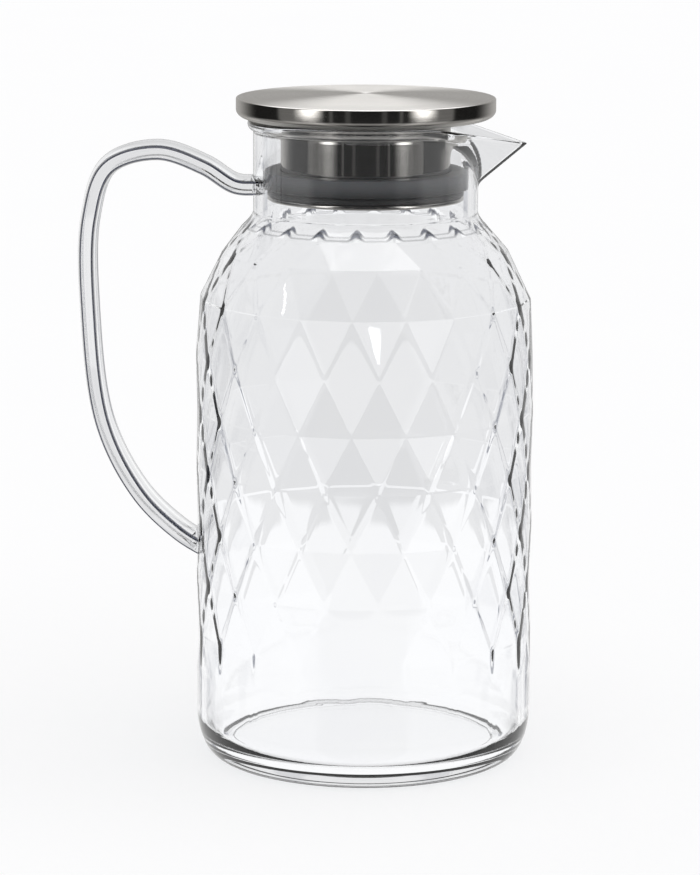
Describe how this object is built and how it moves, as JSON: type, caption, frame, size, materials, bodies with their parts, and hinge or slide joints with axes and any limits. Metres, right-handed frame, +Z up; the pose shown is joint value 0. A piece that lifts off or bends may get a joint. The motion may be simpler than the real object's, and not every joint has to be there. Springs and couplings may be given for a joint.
{
  "type": "acrylic jug with lid",
  "caption": "Clear faceted jug with a beak spout, a strap handle and a steel stopper lid that lifts out of the neck and turns in its silicone seal.",
  "frame": {"origin": "centre of the flat underside that the jug stands on", "axes": "+Z up along the axis of the jug and lid, +X towards the spout, -X towards the handle"},
  "size_m": [0.1621, 0.1204, 0.238],
  "materials": {
    "acrylic": "clear and polished",
    "brushed_steel": "brushed in circles on the lid",
    "silicone": "translucent grey, satin"
  },
  "bodies": {
    "jug": {"jug_body": "acrylic", "handle": "acrylic"},
    "seal": {"seal_ring": "silicone"},
    "lid": {"lid_cap": "brushed_steel", "lid_plate": "brushed_steel", "lid_collar": "brushed_steel"}
  },
  "joints": [
    {"name": "lid_lift", "type": "slide", "parent": "jug", "child": "seal", "axis": [0, 0, 1], "range_m": [0, 0.06]},
    {"name": "lid_turn", "type": "hinge", "parent": "seal", "child": "lid", "pos_m": [0, 0, 0.2], "axis": [0, 0, 1], "continuous": true}
  ]
}
